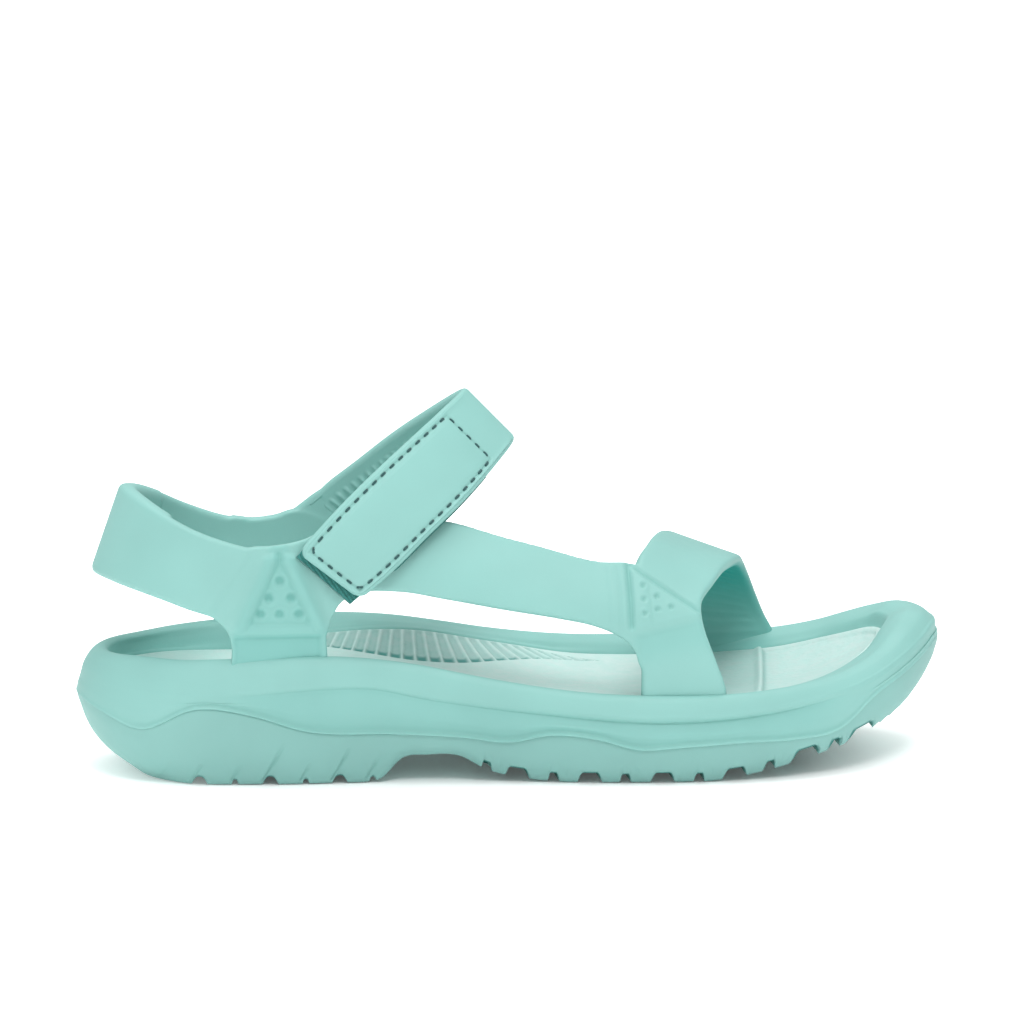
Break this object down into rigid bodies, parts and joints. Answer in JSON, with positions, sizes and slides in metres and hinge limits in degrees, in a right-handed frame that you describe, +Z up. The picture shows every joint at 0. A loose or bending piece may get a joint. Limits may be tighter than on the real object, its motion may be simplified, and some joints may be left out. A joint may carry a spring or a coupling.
{
  "type": "strappy sport sandal",
  "caption": "Right-foot sport sandal in moulded foam: lugged sole, cupped footbed, toe strap, heel strap, and an instep strap whose hook-and-loop flap folds open.",
  "frame": {"origin": "on the ground under the middle of the bounding box", "axes": "+X to the toe, +Y to the inner side of the foot, +Z up"},
  "size_m": [0.2798, 0.099, 0.1203],
  "materials": {
    "moulded_foam": "matt moulded EVA foam",
    "footbed_foam": "matt EVA foam with a fine pebble grain",
    "tread_foam": "matt EVA foam",
    "hook_tape": "woven hook tape",
    "loop_tape": "woven loop tape",
    "thread": "twisted sewing thread"
  },
  "bodies": {
    "sandal": {"outsole": "tread_foam", "midsole": "moulded_foam", "footbed": "footbed_foam", "toe_strap": "moulded_foam", "heel_strap": "moulded_foam", "lateral_quarter": "moulded_foam", "medial_quarter": "moulded_foam", "instep_strap": "moulded_foam", "receiving_strap": "moulded_foam", "loop_patch": "loop_tape", "loop_patch_stitching": "thread"},
    "flap": {"closure_flap": "moulded_foam", "hook_patch": "hook_tape", "hook_patch_stitching": "thread"}
  },
  "joints": [
    {"name": "flap_hinge", "type": "hinge", "parent": "sandal", "child": "flap", "pos_m": [-0.00722, -0.00218, 0.11259], "axis": [-0.6969, 0.068, 0.7139], "range_deg": [0, 120]}
  ]
}
